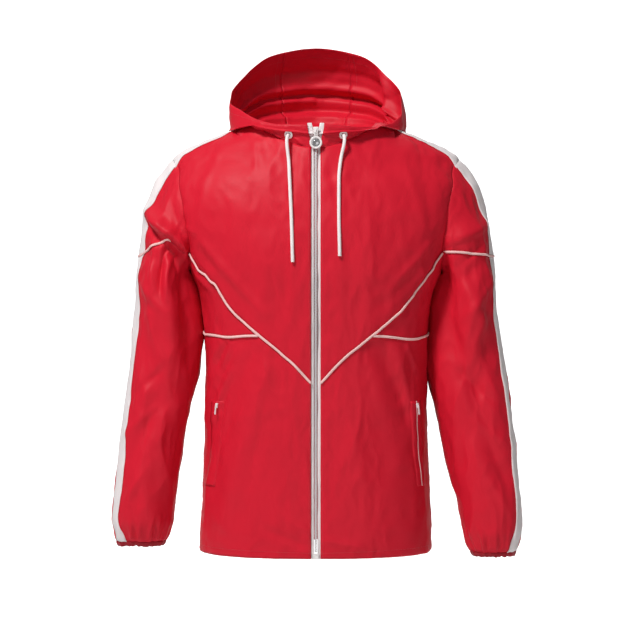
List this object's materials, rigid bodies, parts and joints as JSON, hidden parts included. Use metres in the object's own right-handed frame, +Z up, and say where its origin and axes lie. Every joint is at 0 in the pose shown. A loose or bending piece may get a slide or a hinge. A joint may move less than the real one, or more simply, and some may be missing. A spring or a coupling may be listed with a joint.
{
  "type": "windbreaker",
  "caption": "Hooded zip-front windbreaker of thin red cloth, filled out as worn, with white piping, white sleeve tape, elastic cuffs, pocket zips and hanging white drawcords.",
  "frame": {"origin": "centre of the neck opening, 14 mm below the points where the neck seam meets the shoulder seams; a wearer's neck holds it there", "axes": "+Z up as worn, the front faces -Y, and +X is the wearer's left"},
  "size_m": [0.6695, 0.3132, 0.8476],
  "materials": {
    "shell": "thin woven nylon with a soft sheen",
    "elastic": "matt elastic binding",
    "zip_tape": "matt zip tape",
    "white_cloth": "matt white tape and piping",
    "cord": "matt braided cord",
    "hard_white": "satin white"
  },
  "bodies": {
    "jacket": {"back": "shell", "cuff_L": "elastic", "cuff_R": "elastic", "drawcord_L": "cord", "drawcord_R": "cord", "eyelet_L": "hard_white", "eyelet_R": "hard_white", "front_lower_L": "shell", "front_lower_R": "shell", "front_side_L": "shell", "front_side_R": "shell", "front_upper_L": "shell", "front_upper_R": "shell", "hood_centre": "shell", "hood_side_L": "shell", "hood_side_R": "shell", "lower_sleeve_tape_L": "white_cloth", "lower_sleeve_tape_R": "white_cloth", "piping_diagonal_L": "white_cloth", "piping_diagonal_R": "white_cloth", "piping_level_L": "white_cloth", "piping_level_R": "white_cloth", "piping_sleeve_L": "white_cloth", "piping_sleeve_R": "white_cloth", "pocket_slider_L": "hard_white", "pocket_slider_R": "hard_white", "pocket_zip_L": "zip_tape", "pocket_zip_R": "zip_tape", "shoulder_tape_L": "white_cloth", "shoulder_tape_R": "white_cloth", "sleeve_lower_L": "shell", "sleeve_lower_R": "shell", "sleeve_upper_L": "shell", "sleeve_upper_R": "shell", "upper_sleeve_tape_L": "white_cloth", "upper_sleeve_tape_R": "white_cloth", "zip_box": "hard_white", "zip_chain": "hard_white", "zip_slider": "hard_white", "zip_tape_L": "white_cloth", "zip_tape_R": "white_cloth"},
    "zip_pull": {"zip_pull": "hard_white"},
    "pocket_pull_L": {"pocket_pull_L": "hard_white"},
    "pocket_pull_R": {"pocket_pull_R": "hard_white"}
  },
  "joints": [
    {"name": "zip_pull_swing", "type": "hinge", "parent": "jacket", "child": "zip_pull", "pos_m": [0, -0.10367, -0.0115], "axis": [-1, 0, 0], "range_deg": [0, 150]},
    {"name": "pocket_pull_L_swing", "type": "hinge", "parent": "jacket", "child": "pocket_pull_L", "pos_m": [0.16389, -0.0799, -0.44745], "axis": [-0.6707, -0.7333, -0.1114], "range_deg": [0, 150]},
    {"name": "pocket_pull_R_swing", "type": "hinge", "parent": "jacket", "child": "pocket_pull_R", "pos_m": [-0.16001, -0.07662, -0.44751], "axis": [-0.6713, 0.7338, 0.1042], "range_deg": [0, 150]}
  ]
}
